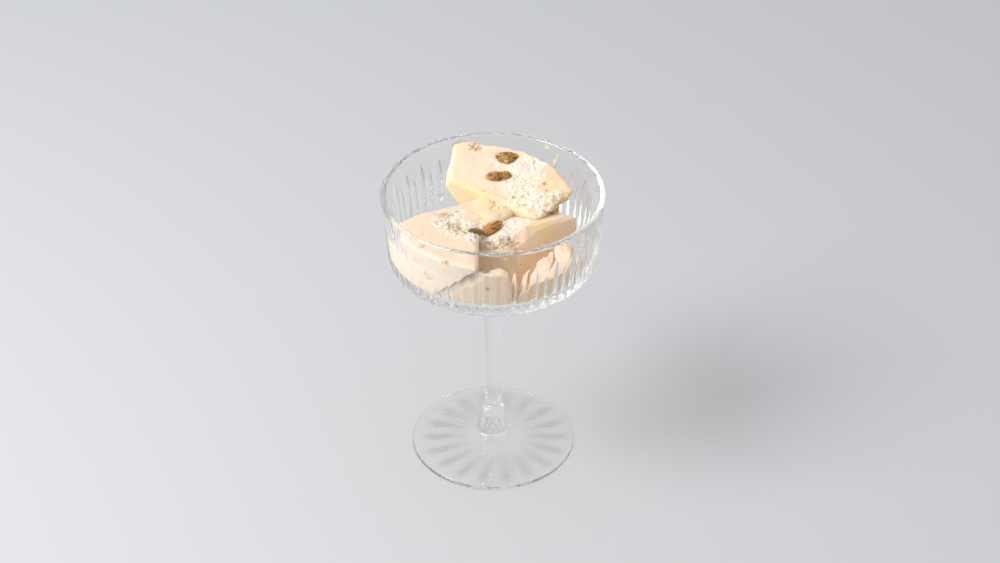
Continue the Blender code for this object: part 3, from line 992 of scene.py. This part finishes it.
def kulfi_material(groups):
    material, tree, shader = start_material("kulfi")
    place = place_on(tree)
    # Painted light: the cream moves from its shaded to its lit copy where faces turn to the lamp
    cream = node(tree, "Group", {
        "Place": place, "Lit_share": mask_on(tree, "pale"), "Light": LIT_SIDE_CREAM, "Deep": SHADE_SIDE_CREAM,
    }, node_tree=groups["cream"]).outputs
    frosted = broken_mask(tree, "frost", noise_on(tree, place, scale=800, detail=3), 0.3, 4, 0.95)
    # Ground pistachio and painted shade, browned alike
    nut_and_shade_share = broken_mask(tree, "nut", noise_on(tree, place, scale=620, detail=3), 0.4, 4.5, 0.85)
    # Paler where it wets the glass: partly the wet surface, partly painted light
    colour = mix(tree, mask_on(tree, "wet"), cream["Color"], WET_AND_LIT_CREAM)
    colour = mix(tree, frosted, colour, FROST_WHITE)
    colour = mix(tree, nut_and_shade_share, colour, NUT_AND_SHADE_TINT)
    # Painted shade: darker in the recesses and in the flutes' bands of less light
    colour = mix(tree, mask_on(tree, "painted_shade"), colour, tinted(tree, colour, PAINTED_SHADE_TINT))
    for cells, share, size, tint in GROUND_NUTS:
        specks = node(tree, "Group", {
            "Place": place, "Cells": cells, "Share": share, "Size": size,
        }, node_tree=groups["specks"])
        colour = mix(tree, times(tree, specks.outputs["Mask"], 0.5), colour, tint)
    rough = math_node(tree, "ADD", 0.42, times(tree, cream["Grain"], 0.3))
    feed(shader, {"Base Color": colour, "Roughness": rough})
    height = math_node(tree, "ADD", cream["Grain"], times(tree, frosted, 0.5))
    relief(tree, shader, height, strength=0.3, distance=0.22 * MM)
    milky(shader, weight=0.6, scale=4.5 * MM)
    return material


def crumb_material():
    """Broken kulfi, white with frost here and cream there."""
    material, tree, shader = start_material("kulfi_crumbs")
    place = place_on(tree)
    patches = noise_on(tree, place, scale=500, detail=2)
    feed(shader, {"Base Color": ramp(tree, patches, CRUMB_TONES), "Roughness": 0.55})
    grain = noise_on(tree, place, scale=3000, detail=2)
    relief(tree, shader, grain, strength=0.2, distance=0.1 * MM)
    milky(shader, weight=0.9, scale=2.4 * MM)
    return material


def speck_material():
    """Ground pistachio: green brown and tan."""
    material, tree, shader = start_material("ground_pistachio")
    place = place_on(tree)
    kinds = noise_on(tree, place, scale=300, detail=1)
    feed(shader, {"Base Color": ramp(tree, kinds, NUT_TONES), "Roughness": 0.5})
    grain = noise_on(tree, place, scale=2500, detail=2)
    relief(tree, shader, grain, strength=0.5, distance=0.1 * MM)
    return material


def fruit_material(name, light, dark):
    """Dried skin: light and dark in random patches, darker along the fine creases of its bump as
    painted shade, glossy with sugar.
    """
    material, tree, shader = start_material(name)
    place = place_on(tree)
    patches = noise_on(tree, place, scale=380, detail=4)
    veins = node(tree, "TexVoronoi", {"Vector": place, "Scale": 700}, feature="DISTANCE_TO_EDGE")
    away = veins.outputs["Distance"]
    colour = ramp(tree, patches, [(0.36, dark), (0.6, light)])
    # Painted shade: the skin is darker along the creases that the bump draws
    lines = ramp(tree, away, [(0, grey(0.55)), (0.2, grey(1))])
    feed(shader, {
        "Base Color": tinted(tree, colour, lines),
        "Roughness": ramp(tree, patches, [(0.3, grey(0.2)), (0.7, grey(0.42))]),
        "Subsurface Weight": 0.3, "Subsurface Radius": SKIN_DEPTHS, "Subsurface Scale": 1.2 * MM,
        "Coat Weight": 0.7, "Coat Roughness": 0.15, "Specular IOR Level": 0.4,
    })
    height = math_node(tree, "ADD", patches, times(tree, away, 0.8))
    relief(tree, shader, height, strength=0.6, distance=0.3 * MM)
    return material


def petal_bands(tree, place):
    """A mask of soft bands between the petals of the foot, where less light comes through."""
    parts = node(tree, "SeparateXYZ", {"Vector": place}).outputs
    turn = math_node(tree, "ARCTAN2", parts["Y"], parts["X"])
    wave = math_node(tree, "COSINE", times(tree, turn, PETALS))
    flat = node(tree, "CombineXYZ", {"X": parts["X"], "Y": parts["Y"]}).outputs["Vector"]
    away = node(tree, "VectorMath", {0: flat}, operation="LENGTH").outputs["Value"]
    ring = ramp(tree, times(tree, away, 1 / BAND_RING), [
        (0.24, grey(0)), (0.36, grey(1)), (0.62, grey(1)), (0.74, grey(0)),
    ])
    low = math_node(tree, "LESS_THAN", parts["Z"], FOOT_TOP)
    return times(tree, times(tree, ring, ramp(tree, wave, [(0, grey(0)), (0.9, grey(1))])), low)


def glass_material():
    """Clear glass, faintly wavy. Its shadow is light where the glass is seen flat on."""
    material, tree, shader = start_material("clear_glass")
    place = place_on(tree)
    waves = noise_on(tree, place, scale=40, detail=0)
    relief(tree, shader, waves, strength=0.04, distance=0.3 * MM)
    film = ramp(tree, waves, [(0.3, grey(0)), (0.8, grey(0.02))])
    feed(shader, {
        "Base Color": GLASS_TINT, "Roughness": film, "IOR": 1.5, "Transmission Weight": 1,
    })
    facing = node(tree, "LayerWeight", {"Blend": 0.3}).outputs["Facing"]
    shade = ramp(tree, facing, [(0.4, grey(0.985)), (1, grey(0.66))])
    shade = mix(tree, petal_bands(tree, place), shade, tinted(tree, shade, grey(0.84)))
    clear = node(tree, "BsdfTransparent", {"Color": shade}).outputs["BSDF"]
    rays = node(tree, "LightPath").outputs
    through = math_node(tree, "MAXIMUM", rays["Is Shadow Ray"], rays["Is Diffuse Ray"])
    both = node(tree, "MixShader", {"Fac": through, 1: shader.outputs["BSDF"], 2: clear})
    feed(tree.nodes["Material Output"], {"Surface": both.outputs["Shader"]})
    return material


def film_material():
    """A thin film of milk, with streaks."""
    material, tree, shader = start_material("milk_film")
    streaks = noise_on(tree, place_on(tree), scale=700, detail=3)
    thin = ramp(tree, streaks, [(0.38, grey(0.25)), (0.62, grey(1))])
    feed(shader, {
        "Base Color": ramp(tree, streaks, FILM_TONES), "Roughness": 0.5,
        "Alpha": times(tree, thin, mask_on(tree, "film")),
    })
    return material


# Smears on the inside of the glass

FILM_GAP = 0.04 * MM
FILM_THICK = 0.06 * MM
SMEARS = (
    # turn in degrees, height in mm, width, length, lean, cover
    ("rim_smear", 58.7, 144.2, 3.4, 2.6, 0, 0.75),
    ("drip", 52.5, 138.5, 2.2, 9.5, 3, 0.6),
    ("drip_low", 44.5, 135.3, 1.2, 4.6, 0, 0.5),
    ("back_smear", 109, 143.8, 9, 3.8, 0, 0.9),
    ("low_smudge", 123, 119.5, 6, 2.4, 0, 0.35),
    ("thin_line", 46.3, 131.5, 0.7, 8, 2, 0.6),
)


def make_smear(name, turn, height, width, length, lean, cover):
    """A thin film of milk that follows the inner wall of the bowl and fades at its edge."""
    bpy.ops.mesh.primitive_grid_add(x_subdivisions=24, y_subdivisions=36, size=1)
    smear = bpy.context.object
    smear.name = name
    rise = HEIGHT - LIP_RADIUS - INNER_CORNER[1]
    slope = (RIM_RADIUS - 2 * LIP_RADIUS - INNER_CORNER[0]) / rise
    points = points_of(smear)
    masks = []
    for i, (across, up, _) in enumerate(points * 2):
        ragged = 0.5 * noise.noise(Vector((across * 2.2, up * 2.2, turn)))
        masks.append(cover * max(0, min(1, (1 - math.hypot(across, up) + ragged) * 2.2)))
        z = (height + up * length / 2) * MM
        radius = INNER_CORNER[0] + slope * (z - INNER_CORNER[1]) - FILM_GAP
        angle = math.radians(turn) + (across * width / 2 - up * lean / 2) * MM / radius
        points[i] = (radius * math.cos(angle), radius * math.sin(angle), z)
    set_points(smear, points)
    store(smear, "film", masks)
    add_modifier(smear, "SOLIDIFY", thickness=FILM_THICK, offset=0)
    face_out(smear)
    smooth(smear)
    return smear


FOOT_CRUMB_SIZE = (1.3, 1, 0.9)
FOOT_CRUMB_PLACE = (-4.8 * MM, -37.9 * MM, 3.0 * MM)


def make_foot_crumb(chance):
    """A crumb that lies on the edge of the foot."""
    crumb = make_grain("foot_crumb", 2, chance)
    crumb.data.transform(Matrix.Diagonal((*FOOT_CRUMB_SIZE, 1)))
    crumb.data.transform(Matrix.Translation(FOOT_CRUMB_PLACE))
    return crumb


# The stage: camera, table and soft light


def make_camera():
    data = bpy.data.cameras.new("camera")
    data.lens = LENS
    made = add_object("camera", data)
    made.location = EYE
    made.rotation_euler = (math.pi / 2 - PITCH, 0, 0)
    bpy.context.scene.camera = made


def make_table():
    bpy.ops.mesh.primitive_plane_add(size=6, location=(0, 0, 0))
    table = bpy.context.object
    table.name = "table"
    material, _, shader = start_material("pale_table")
    feed(shader, {"Base Color": TABLE_GREY, "Roughness": 0.75, "Specular IOR Level": 0.2})
    table.data.materials.append(material)


def soft_light(name, towards, distance, size, power):
    """A square lamp that looks at the middle of the glass."""
    data = bpy.data.lights.new(name, "AREA")
    data.shape = "SQUARE"
    data.size = size
    data.energy = power
    made = add_object(name, data)
    way = Vector(towards).normalized()
    made.location = MIDDLE + way * distance
    made.rotation_euler = way.to_track_quat("Z", "Y").to_euler()


def make_light():
    """A large soft lamp at the upper left and a bright room that is dimmer low on the right."""
    soft_light("key", towards=(-0.68, -0.25, 0.69), distance=1.25, size=0.6, power=12.1)
    world = bpy.data.worlds.new("studio")
    bpy.context.scene.world = world
    world.use_nodes = True
    tree = world.node_tree
    across = node(tree, "VectorMath", {
        0: node(tree, "TexCoord").outputs["Generated"], 1: BRIGHT_SIDE,
    }, operation="DOT_PRODUCT").outputs["Value"]
    share = math_node(tree, "ADD", times(tree, across, 0.5), 0.5)
    sky = ramp(tree, share, [(0.2, grey(0.54)), (0.5, grey(0.8)), (0.85, grey(1))])
    feed(tree.nodes["Background"], {"Color": sky, "Strength": 0.74})
    bpy.context.scene.view_settings.view_transform = "Standard"
    cycles = bpy.context.scene.cycles
    cycles.max_bounces = 32
    cycles.transmission_bounces = 32
    cycles.glossy_bounces = 16
    cycles.transparent_max_bounces = 32


# The blocks: size of their cells in mm, rounds of smoothing, growth in mm, and how far from the
# wall in mm they still wet it
BLOCKS = (
    ("kulfi_top", 0.4, 16, 0.3, 0), ("kulfi_left", 0.42, 14, 0.35, 1.6),
    ("kulfi_right", 0.4, 5, 0.45, 0), ("kulfi_back", 0.45, 8, 0.35, 0),
    ("kulfi_front", 0.4, 10, 0.8, 0), ("kulfi_low", 0.4, 8, 0.4, 0),
)

# The first block is pressed into the second where it lies closer than this, in mm
PRESSES = (
    ("kulfi_right", "kulfi_left", 4.2), ("kulfi_front", "kulfi_left", 4.4),
    ("kulfi_front", "kulfi_right", 1), ("kulfi_low", "kulfi_front", 3.2),
    ("kulfi_low", "kulfi_right", 1.5), ("kulfi_top", "kulfi_left", 1.2),
    ("kulfi_top", "kulfi_right", 1), ("kulfi_back", "kulfi_top", 1),
    ("kulfi_back", "kulfi_right", 1),
)

# The first block's edge at the wall is filled out beside the second
GROOVES = (
    ("kulfi_front", "kulfi_left"), ("kulfi_left", "kulfi_front"), ("kulfi_low", "kulfi_front"),
)

# The fruits: heading in degrees, how close the folds lie, their depth in mm, waist, moon,
# material and slot
FRUITS = (
    ("sultana_upper", 3, 1, 0.8, 0, 1, "sultana_skin", "sultana_skin"),
    ("sultana_lower", 8, 1.1, 0.8, 0.3, 0, "sultana_skin", "sultana_skin"),
    ("sultana_valley", 48, 0.9, 0.8, 0.1, 0, "light_sultana_skin", "sultana_skin"),
    ("pistachio_valley", 20, 1.2, 0.5, 0.1, 0, "pistachio_skin", "pistachio_skin"),
)


def show(piece, material, slot, *nodes):
    piece.data.materials.clear()
    piece.data.materials.append(material)
    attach(piece, BODY)
    if nodes:
        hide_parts(*nodes)


def main():
    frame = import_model()
    deselect()
    nodes = frame["nodes"]
    make_camera()
    make_table()
    make_light()

    groups = {"specks": specks_group(), "cream": cream_group()}
    show(make_coupe(), glass_material(), "clear_glass", "coupe_glass")
    kulfi = kulfi_material(groups)
    blocks = {}
    for name, cells, rounds, grown, wetting in BLOCKS:
        block = make_block(nodes[name], cells * MM, rounds, grown * MM, wetting * MM)
        blocks[name] = block
        show(block, kulfi, "kulfi_cream", name)
    for name, other, reach in PRESSES:
        press(blocks[name], blocks[other], reach * MM)
    for name, other in GROOVES:
        fill_groove(blocks[name], blocks[other])
    crumbs = crumb_material()
    scatter_crumbs(blocks, crumbs, speck_material())
    skins = {name: fruit_material(name, *tones) for name, tones in SKIN_TONES.items()}
    for name, heading, folds, depth, waist, moon, skin, slot in FRUITS:
        fruit = make_fruit(nodes[name], heading, folds, depth * MM, waist, moon)
        show(fruit, skins[skin], slot, name)
    film = film_material()
    for smear in SMEARS:
        show(make_smear(*smear), film, "kulfi_cream")
    show(make_foot_crumb(random.Random(3)), crumbs, "kulfi_cream")

    deselect()


main()
